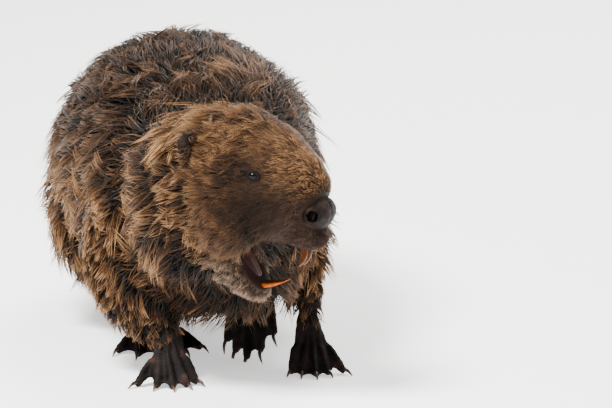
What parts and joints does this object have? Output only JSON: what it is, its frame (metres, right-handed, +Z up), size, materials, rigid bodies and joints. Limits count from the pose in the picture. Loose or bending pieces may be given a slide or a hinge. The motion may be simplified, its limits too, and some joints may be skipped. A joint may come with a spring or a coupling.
{
  "type": "beaver",
  "caption": "Life-size beaver model, walking with its head turned to its left and its jaws parted, with webbed hind feet and a flat scaly tail.",
  "frame": {"origin": "on the floor, under the middle of the whole animal", "axes": "+Z up, +Y towards the tail, +X towards the animal's left side; it walks towards -Y"},
  "size_m": [0.2894, 0.9718, 0.312],
  "materials": {
    "body_coat": "long wet guard hair over dense underfur, dark brown with golden tips",
    "face_coat": "shorter reddish brown hair",
    "foot_skin": "dark, wrinkled, nearly bare skin",
    "ear_skin": "dark, thinly haired skin",
    "tail_scales": "dark grey-brown horny scales",
    "nose_skin": "moist, pebbled, purplish brown skin",
    "claw_horn": "polished dark horn",
    "eye": "wet, nearly black",
    "tooth_enamel": "orange iron-stained enamel",
    "tongue": "moist pink"
  },
  "bodies": {
    "root": {"ear_left": "ear_skin", "ear_right": "ear_skin", "eye_left": "eye", "eye_right": "eye", "fore_claw_left_1": "claw_horn", "fore_claw_left_2": "claw_horn", "fore_claw_left_3": "claw_horn", "fore_claw_left_4": "claw_horn", "fore_claw_left_5": "claw_horn", "fore_claw_right_1": "claw_horn", "fore_claw_right_2": "claw_horn", "fore_claw_right_3": "claw_horn", "fore_claw_right_4": "claw_horn", "fore_claw_right_5": "claw_horn", "fore_foot_left": "foot_skin", "fore_foot_right": "foot_skin", "fore_leg_left": "body_coat", "fore_leg_right": "body_coat", "head": "face_coat", "hind_claw_left_1": "claw_horn", "hind_claw_left_2": "claw_horn", "hind_claw_left_3": "claw_horn", "hind_claw_left_4": "claw_horn", "hind_claw_left_5": "claw_horn", "hind_claw_right_1": "claw_horn", "hind_claw_right_2": "claw_horn", "hind_claw_right_3": "claw_horn", "hind_claw_right_4": "claw_horn", "hind_claw_right_5": "claw_horn", "hind_foot_left": "foot_skin", "hind_foot_right": "foot_skin", "hind_leg_left": "body_coat", "hind_leg_right": "body_coat", "lower_incisor_left": "tooth_enamel", "lower_incisor_right": "tooth_enamel", "lower_jaw": "face_coat", "neck": "body_coat", "nose": "nose_skin", "tail_base": "body_coat", "tail_blade": "tail_scales", "tongue": "tongue", "trunk": "body_coat", "upper_incisor_left": "tooth_enamel", "upper_incisor_right": "tooth_enamel"}
  },
  "joints": []
}
